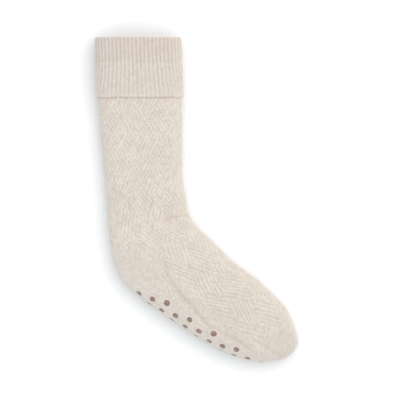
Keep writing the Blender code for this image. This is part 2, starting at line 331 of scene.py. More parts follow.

# %% [markdown]
# ## Creases
# The main creases are placed in the sock's own sizes: a fold across the front of the ankle that runs on
# underneath, one beside it, the long soft hollow where the instep meets the sole, and three by the toe and
# under the foot. Between them lie slow hollows of slack cloth, and the one beside the ball is given painted
# shade. Cloth simulation would give folds, but not these ones where they are.

# %% Table of creases and hollows
# Half width in mm, swell beside it as a share of the depth, painted shade at the bottom, and points as
# (length from the instep edge, place along the tube, depth there) in mm
CREASES = {
    "ankle_front": (2.2, 0.30, 0.52, ((45.0, 208.6, 0.0), (40.0, 207.8, 2.0), (32.4, 206.3, 2.3),
                                      (22.9, 207.0, 2.2), (9.0, 208.5, 1.6), (-4.0, 209.5, 1.0),
                                      (-30.0, 206.0, 1.2), (-50.0, 204.0, 0.0))),
    "ankle_beside": (2.2, 0.35, 0.15, ((41.0, 207.8, 0.5), (43.5, 221.5, 0.8), (53.5, 239.5, 0.0))),
    "side_hollow": (3.2, 0.15, 0.40, ((66.4, 246.0, 0.0), (66.7, 256.0, 1.6), (73.5, 265.0, 1.8),
                                      (78.0, 273.5, 2.4), (77.6, 284.5, 2.7), (79.7, 298.0, 2.7),
                                      (80.5, 313.0, 2.7), (85.3, 329.0, 2.7), (89.5, 343.5, 2.2),
                                      (84.0, 360.0, 1.8), (79.5, 372.5, 1.6), (78.6, 382.0, 1.6),
                                      (77.2, 392.0, 1.0), (76.0, 400.0, 0.0))),
    "toe_fold": (1.6, 0.30, 0.38, ((82.5, 364.0, 0.0), (79.5, 372.5, 0.8), (78.6, 382.0, 1.0),
                                   (77.2, 392.0, 0.8), (76.5, 400.0, 0.0))),
    "toe_side": (1.5, 0.35, 0.34, ((65.0, 388.0, 0.0), (62.4, 397.0, 0.9), (59.7, 404.5, 1.0),
                                   (55.3, 413.5, 1.0), (49.6, 423.5, 0.8), (46.0, 431.0, 0.0))),
    "under_side": (4.0, 0.10, 0.10, ((-68.0, 250.0, 0.0), (-76.0, 290.0, 0.9), (-82.0, 345.0, 0.9),
                                     (-74.0, 395.0, 0.0))),
}
# Length from the instep edge, place along the tube, half width, half length and depth, in mm, and painted
# shade
HOLLOWS = {
    "calf_side":  (62.0, 118.0, 26.0, 34.0, 0.9, 0.0),
    "shin":       (30.0, 165.0, 20.0, 26.0, 0.8, 0.0),
    "above_heel": (84.0, 186.0, 16.0, 30.0, 0.8, 0.0),
    "ankle_side": (72.0, 240.0, 14.0, 16.0, 0.6, 0.0),
    "instep":     (40.0, 292.0, 18.0, 24.0, 0.7, 0.0),
    "ball":       (36.0, 356.0, 20.0, 22.0, 0.6, 0.0),
    "ball_side":  (66.0, 356.0, 26.0, 26.0, 0.4, 0.32),
}
print("creases:", ", ".join(CREASES), "and", len(HOLLOWS), "hollows")

# %% [markdown]
# A crease is a soft trough with a low swell on each side. Its depth follows the points along its line, so
# it fades in and out. Its corners are cut twice, which bends the line softly and keeps it near the
# points.

# %% Depth of the creases
CORNER_CUTS = 2
CORNER_SHARE = 0.25
# Where the swell stands and its half width, in half widths of the crease
SWELL_AT = 2.2
SWELL_WIDE = 1.1


def soft_line(points):
    """A crease's points with their corners cut."""
    line = np.array(points) * MM
    for _ in range(CORNER_CUTS):
        near_start = line[:-1] * (1 - CORNER_SHARE) + line[1:] * CORNER_SHARE
        near_end = line[:-1] * CORNER_SHARE + line[1:] * (1 - CORNER_SHARE)
        cut = np.stack([near_start, near_end], axis=1)
        line = np.concatenate([line[:1], cut.reshape(-1, 3), line[-1:]])
    return line


def nearest_on(line, place, from_instep):
    """Gap from each point of the knit to a crease's line, and the line's depth where it is nearest."""
    gap = np.full(place.shape, np.inf)
    depth = np.zeros_like(place)
    for start, end in zip(line[:-1], line[1:]):
        run = end[:2] - start[:2]
        aside = from_instep - start[0]
        along = place - start[1]
        t = np.clip((aside * run[0] + along * run[1]) / (run @ run), 0, 1)
        here = np.hypot(aside - t * run[0], along - t * run[1])
        depth = np.where(here < gap, start[2] + t * (end[2] - start[2]), depth)
        gap = np.minimum(gap, here)
    return gap, depth


def crease_depth(place, from_instep):
    """How far the cloth sinks into its creases and hollows and swells beside the creases, and the painted
    shade at their bottom.
    """
    sink = np.zeros_like(place)
    shade = np.zeros_like(place)
    for half_width, swell, dark, points in CREASES.values():
        line = soft_line(points)
        gap, depth = nearest_on(line, place, from_instep)
        wide = gap / (half_width * MM)
        trough = np.exp(-wide ** 2)
        sink += depth * (trough - swell * np.exp(-((wide - SWELL_AT) / SWELL_WIDE) ** 2))
        # Painted shade, deepest along the bottom of the trough
        shade = np.maximum(shade, dark * depth / line[:, 2].max() * trough)
    for arc, at, half_width, half_length, depth, dark in HOLLOWS.values():
        gap = ((from_instep / MM - arc) / half_width) ** 2 + ((place / MM - at) / half_length) ** 2
        sink += depth * MM * np.exp(-gap)
        # Painted shade in a hollow, where its table gives one
        shade = np.maximum(shade, dark * np.exp(-gap))
    return sink, shade


print("crease lines:", [len(soft_line(crease[-1])) for crease in CREASES.values()], "points")

# %% [markdown]
# ## Ribs
# The top of the tube is knitted in a narrow rib. It is folded down outside, and its ribs run on over the
# fold and down the inside of the leg. So one count of ribs serves both pieces: even at the fold, and
# spreading a little towards the hem. Underneath, the ribs that are left share the length that is left.

# %% Count of the ribs
RIBS = 50
RIB_PITCH_AT_FOLD = 4.5 * MM
RIB_PITCH_AT_HEM = 5.0 * MM
SPREAD_STARTS = 24.0 * MM
RIB_ROUNDNESS = 0.8
RIB_SINK = 0.35


def rib_count(down, from_instep):
    """Ribs counted from the middle of the top."""
    top = from_instep.max()
    spread = smooth((down - SPREAD_STARTS) / (CUFF_DEPTH - SPREAD_STARTS))
    pitch = RIB_PITCH_AT_FOLD + (RIB_PITCH_AT_HEM - RIB_PITCH_AT_FOLD) * spread
    under_pitch = -from_instep.min() / (RIBS - top / pitch)
    over = (from_instep - top / 2) / pitch
    return np.where(from_instep >= 0, over, from_instep / under_pitch - top / 2 / pitch)


def rib_share(counts):
    """1 on the crest of a rib, 0 in the groove beside it."""
    return (0.5 + 0.5 * np.cos(2 * math.pi * counts)) ** RIB_ROUNDNESS


print("ribs:", RIBS, "round the top")

# %% [markdown]
# ## A grid that becomes a tube
# Knitting is a sheet of wales and courses, so the piece starts as one grid primitive with a vertex for
# each small step of the knit. Its vertices are moved on to the rings, and the two edges that meet are
# welded in edit mode. Sculpting or a cage with subdivision would lose the knit's own directions, which
# the relief and the yarn follow. The grid's first map is left as it is, flat and without overlaps.
# Further maps hold the knit's own counts.

# %% Grid helpers
BAKE_MAP = "OFBake"
STITCH_MAP = "stitches"
CHART_MAP = "cable_chart"
WELD = 0.001 * MM
# A new grid's vertices are sorted by row and then by column, with their places rounded to this many digits
SORT_DIGITS = 6
# Keeps a direction of no length from being divided by zero
TINY = 1e-12


def lay_grid(name, points):
    """Adds a grid and moves its vertices on to the points; gives the piece and the vertices' order."""
    rows, columns = points.shape[:2]
    bpy.ops.object.select_all(action="DESELECT")
    bpy.ops.mesh.primitive_grid_add(x_subdivisions=columns - 1, y_subdivisions=rows - 1, size=1.0)
    piece = bpy.context.object
    piece.name = name
    mesh = piece.data
    mesh.name = name
    flat = np.zeros(len(mesh.vertices) * 3)
    mesh.vertices.foreach_get("co", flat)
    flat = flat.reshape(-1, 3).round(SORT_DIGITS)
    order = np.lexsort((flat[:, 0], flat[:, 1]))
    flat[order] = points.reshape(-1, 3)
    mesh.vertices.foreach_set("co", flat.ravel())
    mesh.uv_layers[0].name = BAKE_MAP
    return piece, order


def keep_counts(mesh, order, maps, marks):
    """Keeps counts as maps and marks as attributes on the mesh."""
    corner = np.zeros(len(mesh.loops), int)
    mesh.loops.foreach_get("vertex_index", corner)
    for name, counts in maps.items():
        by_vertex = np.zeros((len(order), 2))
        by_vertex[order] = counts.reshape(-1, 2)
        mesh.uv_layers.new(name=name).uv.foreach_set("vector", by_vertex[corner].ravel())
    for name, values in marks.items():
        by_vertex = np.zeros(len(order))
        by_vertex[order] = values.ravel()
        mesh.attributes.new(name, "FLOAT", "POINT").data.foreach_set("value", by_vertex)


def roll_grid(name, points, maps, marks):
    """A knitted piece on a grid of points, with its maps and marks, welded where its edges meet."""
    piece, order = lay_grid(name, points)
    keep_counts(piece.data, order, maps, marks)
    bpy.ops.object.mode_set(mode="EDIT")
    bpy.ops.mesh.select_all(action="SELECT")
    bpy.ops.mesh.remove_doubles(threshold=WELD)
    bpy.ops.object.mode_set(mode="OBJECT")
    bpy.ops.object.shade_smooth()
    piece.data.calc_loop_triangles()
    print(name, "has", len(piece.data.loop_triangles), "triangles")
    return piece


def outward(points):
    """Outward direction at each point of a rolled grid whose columns close on themselves."""
    ahead = np.concatenate([points[:, 1:], points[:, 1:2]], axis=1)
    behind = np.concatenate([points[:, -2:-1], points[:, :-1]], axis=1)
    normal = np.cross(ahead - behind, np.gradient(points, axis=0))
    return normal / np.maximum(np.linalg.norm(normal, axis=2, keepdims=True), TINY)


print("maps:", BAKE_MAP, STITCH_MAP, CHART_MAP)

# %% [markdown]
# ## The knitted tube
# On the machine the leg, heel, foot and toe come off as one tube, so they are one piece here too. Its
# rows run from the toe's tip along the outside to the rim, over it, and back along the inside in larger
# steps to the tip. So the piece is a closed wall of real thickness with an open collar. The steps are
# finest on the face that shows.

# %% Rows of the body
OVER_COLUMNS = 168
UNDER_COLUMNS = 112
FINE_STEP = 1.2 * MM
PATTERN_STARTS = 65.0 * MM
TOE_CLOSES = 440.0 * MM
TIP_ROWS = 12
RIM_ROWS = 10
INNER_ROWS = 26

over_shares = np.linspace(0.0, 1.0, OVER_COLUMNS + 1)[:-1]
under_shares = np.linspace(1.0, 0.0, UNDER_COLUMNS + 1)
fine_rows = round((TOE_CLOSES - PATTERN_STARTS) / FINE_STEP)
outer_places = np.concatenate([np.linspace(TUBE_LENGTH, TOE_CLOSES, TIP_ROWS)[:-1],
                               np.linspace(TOE_CLOSES, PATTERN_STARTS, fine_rows)[:-1],
                               np.linspace(PATTERN_STARTS, 0.0, RIM_ROWS)])
inner_places = np.linspace(0.0, TOE_CLOSES, INNER_ROWS)


def body_rings(places, grow):
    """Rings at each place, with every point's length from the instep edge."""
    made = [section_ring(place, over_shares, under_shares, grow) for place in places]
    return np.array([points for points, _ in made]), np.array([lengths for _, lengths in made])


outer, outer_lengths = body_rings(outer_places, 0.0)
inner, inner_lengths = body_rings(inner_places, -KNIT_WALL)
places_here = np.repeat(outer_places[:, None], outer.shape[1], axis=1)
print("body:", len(outer), "rows outside and", len(inner), "inside, of", outer.shape[1], "points")

# %% [markdown]
# The ridges of the chart stand a little higher on the foot, where the knit is slacker. Plain knit keeps a
# low even height, so that its edge doesn't drop into a step. Under the cuff nothing is raised, because
# the cuff lies there.

# %% Ridges on the body
LEG_RIDGE_RISE = 0.85 * MM
FOOT_RIDGE_RISE = 1.2 * MM
PLAIN_RISE = 0.3 * MM
PATTERN_FADE = 3.0 * MM

top_lengths = outer_lengths.max(axis=1, keepdims=True)
under_lengths = -outer_lengths.min(axis=1, keepdims=True)
around = chart_round(places_here, outer_lengths, top_lengths, under_lengths)
chart_places, chart_repeats = zip(*CHART_ALONG)
diagonals = chart_diagonals(around, np.interp(places_here / MM, chart_places, chart_repeats))
plain = plain_share(places_here, outer_lengths)
showing = smooth((places_here - PATTERN_STARTS) / PATTERN_FADE)
ridge_rise = LEG_RIDGE_RISE + (FOOT_RIDGE_RISE - LEG_RIDGE_RISE) * foot_share(places_here)
relief = showing * (ridge_rise * ridge_blocks(*diagonals) * (1 - plain) + PLAIN_RISE * plain)
print("ridges up to", round(relief.max() / MM, 2), "mm")

# %% [markdown]
# Creases come off the same relief. The rubber keeps the cloth flat where a dot is cured on to it, so no
# crease sinks under a dot. The first and the last column are the same line along the sole edge, so they
# take the same relief and weld without a seam, and the first row shrinks to one point at the tip.

# %% Creases and beds of the dots
DOT_BED = 4.0 * MM
DOT_BED_ENDS = 7.0 * MM
FLOOR_LIFT = 0.02 * MM

dot_nodes = sorted(name for name in frame["nodes"] if name.startswith("grip_dot_"))
dot_middles = np.array([np.mean([list(corner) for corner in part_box(name)], axis=0) for name in dot_nodes])
sink, crease_shade = crease_depth(places_here, outer_lengths)
nearest_dot = np.min([np.linalg.norm(outer - middle, axis=2) for middle in dot_middles], axis=0)
clear_of_dots = smooth((nearest_dot - DOT_BED) / (DOT_BED_ENDS - DOT_BED))
relief = relief - showing * np.where(sink > 0, sink * clear_of_dots, sink)
relief[:, -1] = relief[:, 0]
outer = outer + outward(outer) * relief[..., None]
outer[..., 2] = np.maximum(outer[..., 2], FLOOR_LIFT)
outer[0] = outer[0].mean(axis=0)
print("creases down to", round(sink.max() / MM, 2), "mm, clear of", len(dot_nodes), "dots")

# %% [markdown]
# Inside the collar the cuff's ribs run on and fade out a little below the height of the hem. The inner
# wall ends in one point too, part of the way to the tip, which closes the toe.

# %% Inside of the body
INNER_RIB_RISE = 0.7 * MM
INNER_RIBS_FADE = 70.0 * MM
INNER_RIBS_END = 95.0 * MM
INNER_TIP = 0.4

inner_ribs = np.array([rib_share(rib_count(0.0, lengths)) for lengths in inner_lengths])
rib_fade = 1 - smooth((inner_places[:, None] - INNER_RIBS_FADE) / (INNER_RIBS_END - INNER_RIBS_FADE))
inner = inner + outward(inner) * (rib_fade * INNER_RIB_RISE * (inner_ribs - RIB_SINK))[..., None]
last_middle = inner[-1].mean(axis=0)
inner_tip = last_middle + (outer[0, 0] - last_middle) * INNER_TIP
pole_row = np.repeat(inner_tip[None, None], outer.shape[1], axis=1)
print("inner tip in mm:", [round(v / MM, 1) for v in inner_tip])

# %% [markdown]
# Now the grid is rolled. One map counts the stitches, in wales round the tube and courses along it, and
# the other one holds the cable chart. Two marks say where the knit is plain, and how light or shaded the
# relief is.

# %% Body of the sock
WALE = 2.4 * MM
COURSE = 2.2 * MM

wales = np.concatenate([outer_lengths, inner_lengths, inner_lengths[-1:]]) / WALE
courses = np.concatenate([outer_places, -inner_places, [-TUBE_LENGTH]]) / COURSE
stitch_map = np.stack(np.broadcast_arrays(wales, courses[:, None]), axis=-1)
inside = np.zeros((len(inner_places) + 1, outer.shape[1]))
cable_map = np.concatenate([np.stack(diagonals, axis=-1), np.stack([inside, inside], axis=-1)])
# The ridge mark is painted shade: darker at the bottoms of the creases and the shaded hollow, and in the
# grooves of the ribs inside the collar
lightness = np.concatenate([1 - crease_shade, 1 - rib_fade * (1 - inner_ribs), inside[:1] + 1])
sock_knit = roll_grid("sock_knit", np.concatenate([outer, inner, pole_row]),
                      {STITCH_MAP: stitch_map, CHART_MAP: cable_map},
                      {"plain": np.concatenate([plain, inside + 1]), "ridge": lightness})
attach(sock_knit, "root")
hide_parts("knit_body")

# %% [markdown]
# ## The ribbed cuff
# The ribs of the turned-down cuff are real ridges that run over the fold and end in a cast-off lip. A
# plain band with bump would have a straight outline at the fold and at the hem, where the ribs show as
# small scallops. The band is a closed ring: its rows run up the outside from the hem, over the fold into
# the collar, down again between cuff and leg, and round the hem.

# %% Outline of the folded cuff
RIB_RISE = 0.9 * MM
INSIDE_SHARE = INNER_RIB_RISE / RIB_RISE
FOLD_HEIGHT = CUFF_WALL
HEM_ROUND = 1.0 * MM
WALL_ROWS = 76
FOLD_ROWS = 14
BACK_ROWS = 8
HEM_BACK_ROWS = 4
HEM_FACE_ROWS = 5


def fold_rows():
    """Over the fold, where the ribs sink to the height that they have inside the leg."""
    middle = (CUFF_STANDOFF - KNIT_WALL) / 2
    half_fold = (CUFF_STANDOFF + KNIT_WALL) / 2
    rows = []
    for angle in np.linspace(0.0, math.pi, FOLD_ROWS)[1:]:
        share = INSIDE_SHARE + (1 - INSIDE_SHARE) * (0.5 + 0.5 * math.cos(angle))
        rows.append((FOLD_HEIGHT * (1 - math.sin(angle)), middle + half_fold * math.cos(angle), share))
    return rows


def hem_rows():
    """Round the hem, from the back of the cuff to its face."""
    rows = []
    for angle in np.linspace(0.0, math.pi / 2, HEM_BACK_ROWS)[1:]:
        rows.append((CUFF_DEPTH - HEM_ROUND * (1 - math.sin(angle)),
                     SEAT_GAP + HEM_ROUND * (1 - math.cos(angle)), 0.0))
    for angle in np.linspace(0.0, math.pi / 2, HEM_FACE_ROWS)[:-1]:
        rows.append((CUFF_DEPTH - HEM_ROUND * (1 - math.cos(angle)),
                     CUFF_STANDOFF - HEM_ROUND * (1 - math.sin(angle)), math.sin(angle)))
    return rows


def cuff_profile():
    """Closed outline: distance down from the fold, growth from the leg's face, and share of the relief."""
    hem_starts = CUFF_DEPTH - HEM_ROUND
    face = [(down, CUFF_STANDOFF, 1.0) for down in np.linspace(hem_starts, FOLD_HEIGHT, WALL_ROWS)]
    back = [(FOLD_HEIGHT, -KNIT_WALL, INSIDE_SHARE)]
    back += [(down, SEAT_GAP, 0.0) for down in np.linspace(FOLD_HEIGHT, hem_starts, BACK_ROWS)]
    return np.array(face + fold_rows() + back + hem_rows() + face[:1])


profile = cuff_profile()
print("cuff:", len(profile), "rows from hem to hem")

# %% [markdown]
# Each row is a ring round the leg, grown by its distance from the leg's face. The hem is soft, so it
# hangs in long low waves, which die out towards the line where the cuff is tucked.

# %% Rings of the cuff
COLUMNS_PER_RIB = 8
CUFF_STATIONS = 3
TUCK_LINE = 28.5 * MM
HEM_WAVE = 0.45 * MM
HEM_WAVES = (5, 9, 14)

half_columns = RIBS * COLUMNS_PER_RIB // 2
cuff_over = np.linspace(0.0, 1.0, half_columns + 1)[:-1]
cuff_under = np.linspace(1.0, 0.0, half_columns + 1)
cuff_points = []
rib_counts = []
for down, grow, _ in profile:
    place = float(np.interp(down, ROWS[:CUFF_STATIONS, COLUMNS.index("down")], PLACES[:CUFF_STATIONS]))
    points, lengths = section_ring(place, cuff_over, cuff_under, grow)
    counts = rib_count(down, lengths)
    wave = sum(np.sin(2 * math.pi * waves * counts / RIBS + waves) for waves in HEM_WAVES) / len(HEM_WAVES)
    hang = smooth((down - TUCK_LINE) / (CUFF_DEPTH - TUCK_LINE))
    points[:, 1] = -down - PLAN_CENTRE[1] + HEM_WAVE * wave * hang
    cuff_points.append(points)
    rib_counts.append(counts)
cuff_points = np.array(cuff_points)
rib_counts = np.array(rib_counts)
print("cuff rings:", cuff_points.shape[1], "points each,", COLUMNS_PER_RIB, "to a rib")

# %% [markdown]
# The ribs flatten under the cast-off lip, and a tuck line crosses them about two fifths of the way down.
# Above that line the yarn has a rosier cast, which a mark keeps for the material.

# %% Cuff
WALES_PER_RIB = 2
LIP_AT = 65.6 * MM
LIP_HALF = 1.5 * MM
LIP_RISE = 0.55 * MM
LIP_FLATTENS = 0.55
LIP_LIGHTNESS = 0.8
TUCK_HALF = 1.1 * MM
TUCK_SINK = 0.25 * MM
TUCK_FLATTENS = 0.35
ROSE_FADE = 3.0 * MM

downs, _, shares = (column[:, None] for column in profile.T)
rib = rib_share(rib_counts)
lip = np.exp(-((downs - LIP_AT) / LIP_HALF) ** 2)
tuck_line = np.exp(-((downs - TUCK_LINE) / TUCK_HALF) ** 2)
rib_height = RIB_RISE * (1 - LIP_FLATTENS * lip) * (1 - TUCK_FLATTENS * tuck_line)
cuff_relief = shares * (rib_height * (rib - RIB_SINK) + LIP_RISE * lip - TUCK_SINK * tuck_line)
cuff_points = cuff_points + outward(cuff_points) * cuff_relief[..., None]
cuff_points[..., 2] = np.maximum(cuff_points[..., 2], FLOOR_LIFT)
cuff_points[-1] = cuff_points[0]
course_count = np.cumsum(np.concatenate([[0.0], np.hypot(*np.diff(profile[:, :2], axis=0).T)])) / COURSE
cuff_map = np.stack(np.broadcast_arrays(rib_counts * WALES_PER_RIB, course_count[:, None]), axis=-1)
above_tuck = 1 - smooth((downs - TUCK_LINE) / ROSE_FADE + 0.5)
# The ridge mark paints shade into the grooves between the ribs, and a little of it evenly over the lip
cuff_rib = roll_grid("cuff_rib", cuff_points, {STITCH_MAP: cuff_map},
                     {"ridge": rib * (1 - lip) + lip * LIP_LIGHTNESS,
                      "rose": np.broadcast_to(above_tuck, rib_counts.shape)})
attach(cuff_rib, "root")
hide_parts("rib_cuff")

# %% [markdown]
# ## Rubber grip dots
# The dots are drops of liquid rubber, screened on to the sole and cured, so they are low domes with a
# soft rim that follow the curve of the sole. The solids already lie on that curve. So each dot is a copy
# of its solid's mesh with its corners merged, its rim kept firm by an edge crease and the rest rounded by
# Subdivision Surface. Before that it is widened and lowered along its own axis, as a drop spreads.

# %% Spread of a dot
DOT_WIDEN = 1.12
DOT_FLATTEN = 0.65


def spread_dot(mesh):
    """Widens a dot and lowers it towards its base, along its own axis."""
    points = np.zeros(len(mesh.vertices) * 3)
    mesh.vertices.foreach_get("co", points)
    points = points.reshape(-1, 3)
    middle = points.mean(axis=0)
    axis = np.linalg.svd(points - middle)[2][2]
    height = (points - middle) @ axis
    aside = points - middle - height[:, None] * axis
    if height @ np.linalg.norm(aside, axis=1) > 0:
        axis, height = -axis, -height
    base = height.min()
    points = middle + DOT_WIDEN * aside + (base + DOT_FLATTEN * (height - base))[:, None] * axis
    mesh.vertices.foreach_set("co", points.ravel())


print("dots spread to", DOT_WIDEN, "of their width")

# %% [markdown]
# The same steps make every dot, so they are a loop over the solids. Each dot keeps a mesh of its own,
# because each lies at another tilt.

# %% Grip dots
DOT_LEVELS = 2
DOT_RIM_ANGLE = math.radians(70.0)

dots = []
for node in dot_nodes:
    mesh = frame["nodes"][node].data.copy()
    dot = bpy.data.objects.new(node.replace("grip", "rubber"), mesh)
    bpy.context.scene.collection.objects.link(dot)
    bpy.ops.object.select_all(action="DESELECT")
    dot.select_set(True)
    bpy.context.view_layer.objects.active = dot
    bpy.ops.object.mode_set(mode="EDIT")
    bpy.ops.mesh.select_all(action="SELECT")
    bpy.ops.mesh.remove_doubles(threshold=WELD)
    bpy.ops.mesh.tris_convert_to_quads()
    bpy.ops.mesh.select_all(action="DESELECT")
    bpy.ops.mesh.edges_select_sharp(sharpness=DOT_RIM_ANGLE)
    bpy.ops.transform.edge_crease(value=1.0)
    bpy.ops.mesh.select_all(action="SELECT")
    bpy.ops.object.mode_set(mode="OBJECT")
    spread_dot(mesh)
    rounding = dot.modifiers.new("rounding", "SUBSURF")
    rounding.levels = DOT_LEVELS
    rounding.render_levels = DOT_LEVELS
    bpy.ops.object.modifier_apply(modifier=rounding.name)
    bpy.ops.object.shade_smooth()
    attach(dot, "root")
    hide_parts(node)
    dots.append(dot)
print("dots:", len(dots))

# %% [markdown]
# ## Brushed fuzz
# The sock is brushed after knitting, which pulls fine fibre ends out of the yarn. They blur its outline
# and give it the soft halo that makes it look fuzzy. A hair system would vanish on export, so each fibre
# is a thin spike of four triangles. Their roots are drawn at random, even by area. None grows close to
# the floor.

# %% Roots of the fibres
FLOOR_CLEARANCE = 1.5 * MM
FUZZ_SEED = 7


def scatter(points, count, draw):
    """Random places on a rolled grid, with the outward direction there."""
    across = points[:-1, 1:] - points[:-1, :-1]
    along = points[1:, :-1] - points[:-1, :-1]
    area = np.linalg.norm(np.cross(across, along), axis=2) * (points[:-1, :-1, 2] > FLOOR_CLEARANCE)
    chosen = draw.choice(area.size, size=count, p=(area / area.sum()).ravel())
    row, column = np.unravel_index(chosen, area.shape)
    first, second = draw.random((2, count, 1))
    places = points[row, column] + first * across[row, column] + second * along[row, column]
    return places, outward(points)[row, column]


draw = np.random.default_rng(FUZZ_SEED)
print("fuzz seed:", FUZZ_SEED)

# %% [markdown]
# All the spikes are one joined mesh made from arrays: three corners round the root and a tip that leans
# over at random. The map gives each triangle a cell of its own, so nothing overlaps when a finish is
# baked.

# %% Spikes
FIBRE_LENGTHS = (1.0 * MM, 2.6 * MM)
FIBRE_LIFTS = (math.radians(12.0), math.radians(55.0))
FIBRE_RADIUS = 0.035 * MM
SPIKE_TURNS = (0.0, math.tau / 3, 2 * math.tau / 3)
SPIKE_POINTS = len(SPIKE_TURNS) + 1
SPIKE_FACES = ((0, 2, 1), (0, 1, 3), (1, 2, 3), (2, 0, 3))
MAP_CORNERS = ((0.1, 0.1), (0.8, 0.1), (0.1, 0.8))


def unit(vectors):
    """Vectors brought to length 1."""
    return vectors / np.maximum(np.linalg.norm(vectors, axis=1, keepdims=True), TINY)


def spike_points(roots, normals, draw):
    """Three corners and a tip for each root."""
    count = len(roots)
    aside = draw.normal(size=(count, 3))
    aside = unit(aside - normals * (aside * normals).sum(axis=1, keepdims=True))
    lift = draw.uniform(*FIBRE_LIFTS, (count, 1))
    heading = aside * np.cos(lift) + normals * np.sin(lift)
    tips = roots + heading * draw.uniform(*FIBRE_LENGTHS, (count, 1))
    left = unit(np.cross(heading, normals))
    up = np.cross(heading, left)
    corners = [roots + FIBRE_RADIUS * (math.cos(turn) * left + math.sin(turn) * up - normals)
               for turn in SPIKE_TURNS]
    points = np.stack(corners + [tips], axis=1).reshape(-1, 3)
    points[:, 2] = np.maximum(points[:, 2], FLOOR_LIFT)
    return points


def fuzz_piece(name, points):
    """One mesh of spikes, each with a place of its own in the map."""
    spikes = len(points) // SPIKE_POINTS
    faces = (SPIKE_POINTS * np.arange(spikes)[:, None, None] + np.array(SPIKE_FACES)).reshape(-1, 3)
    mesh = bpy.data.meshes.new(name)
    mesh.from_pydata(points, [], faces)
    cells = math.ceil(math.sqrt(len(faces)))
    cell = np.stack(np.divmod(np.arange(len(faces)), cells), axis=-1)[:, None]
    flat = (cell + np.array(MAP_CORNERS)) / cells
    mesh.uv_layers.new(name=BAKE_MAP).uv.foreach_set("vector", flat.ravel())
    piece = bpy.data.objects.new(name, mesh)
    bpy.context.scene.collection.objects.link(piece)
    return piece


print("fibres up to", round(FIBRE_LENGTHS[1] / MM, 1), "mm long")

# %% [markdown]
# The fuzz grows on the part of the body below the cuff and on the face of the cuff. None grows through a
# dot.

# %% Fuzz
FIBRES_ON_KNIT = 35000
FIBRES_ON_CUFF = 12000
DOT_CLEARANCE = 4.4 * MM
CUFF_FACE = 0.5

knit_roots, knit_normals = scatter(outer[outer_places > PATTERN_STARTS], FIBRES_ON_KNIT, draw)
nearest = np.min([np.linalg.norm(knit_roots - middle, axis=1) for middle in dot_middles], axis=0)
clear = nearest > DOT_CLEARANCE
cuff_roots, cuff_normals = scatter(cuff_points[profile[:, 2] > CUFF_FACE], FIBRES_ON_CUFF, draw)
fibres = spike_points(np.concatenate([knit_roots[clear], cuff_roots]),
                      np.concatenate([knit_normals[clear], cuff_normals]), draw)
fuzz = fuzz_piece("brushed_fuzz", fibres)
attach(fuzz, "root")
print("fuzz:", len(fuzz.data.polygons), "triangles")

# %% [markdown]
# ## Yarn
# The yarn is a wool blend in oatmeal: undyed cream fibres spun with fawn and stone ones, so every loop is
# a slightly different shade. One function adds each node with its settings and links, and one turns a hex
# colour into the linear values that the shader works in.

# %% Material helpers


def linear(hex_colour):
    """Linear RGBA of an sRGB hex colour."""
    parts = [int(hex_colour[at:at + 2], 16) / 255 for at in (0, 2, 4)]
    return tuple(v / 12.92 if v <= 0.04045 else ((v + 0.055) / 1.055) ** 2.4 for v in parts) + (1.0,)


def add_node(tree, kind, settings=None, links=None):
    """Adds a shader node, sets its sockets (by name or number) and properties, and links its inputs.

    A link comes from an output, or from a node, which stands for its first output.
    """
    node = tree.nodes.new("ShaderNode" + kind)
    for name, value in (settings or {}).items():
        if isinstance(name, int) or name in node.inputs:
            node.inputs[name].default_value = value
        else:
            setattr(node, name, value)
    for socket, source in (links or {}).items():
        output = source.outputs[0] if isinstance(source, bpy.types.Node) else source
        tree.links.new(output, node.inputs[socket])
    return node


def new_material(name):
    """An empty node material, its tree and its Principled shader."""
    material = bpy.data.materials.new(name)
    material.use_nodes = True
    return material, material.node_tree, material.node_tree.nodes["Principled BSDF"]


print("linear mid grey:", round(linear("808080")[0], 3))

# %% [markdown]
# Each stitch shows two legs that lean together like a V. Bump draws them: a leg is a rounded bar across
# its half of the wale, cut into courses on a slant. The same counts pick one random number for each leg,
# which becomes its shade and gives heathered yarn its grain. The stitches are about 2 mm, which is close
# to what the picture can hold, so they need no enlarging.

# %% V stitches
SLANT = 1.1
LEG_ROUNDNESS = 1.6
LEGS_IN_WALE = 2.0


def v_stitches(tree, wales, courses, block=None):
    """Height of V stitches on a count of wales and courses, and a random number for each leg."""
    share = add_node(tree, "Math", {"operation": "FRACT"}, {0: wales})
    centred = add_node(tree, "Math", {"operation": "SUBTRACT", 1: 0.5}, {0: share})
    aside = add_node(tree, "Math", {"operation": "ABSOLUTE"}, {0: centred})
    slanted = add_node(tree, "Math", {"operation": "MULTIPLY_ADD", 1: SLANT}, {0: aside, 2: courses})
    loop = add_node(tree, "Math", {"operation": "PINGPONG", 1: 0.5}, {0: slanted})
    leg = add_node(tree, "Math", {"operation": "PINGPONG", 1: 0.25}, {0: aside})
    height = add_node(tree, "Math", {"operation": "MULTIPLY_ADD", 1: LEG_ROUNDNESS}, {0: leg, 2: loop})
    legs = add_node(tree, "Math", {"operation": "MULTIPLY", 1: LEGS_IN_WALE}, {0: wales})
    cell = add_node(tree, "CombineXYZ", links={0: legs, 1: slanted})
    if block:
        tree.links.new(block, cell.inputs[2])
    one_leg = add_node(tree, "VectorMath", {"operation": "FLOOR"}, {0: cell})
    fleck = add_node(tree, "TexWhiteNoise", links={"Vector": one_leg})
    return height.outputs[0], fleck.outputs["Value"]


print("stitches:", round(WALE / MM, 1), "by", round(COURSE / MM, 1), "mm")

# %% [markdown]
# In the cable blocks the stitches travel along the ridges, so the shader repeats the chart: it finds the
# block of each point, which way that block leans, and how far across and along its ridges the point lies.
# A mark kept on the mesh would be smeared between vertices. Worked out here, the grooves between the
# ridges stay crisp.

# %% Cable ridges
STITCHES_ALONG_RIDGE = 16
FOOT_FROM_REPEAT = 4.6
# Block numbers are counted as rows of this many
BLOCKS_IN_ROW = 7.0


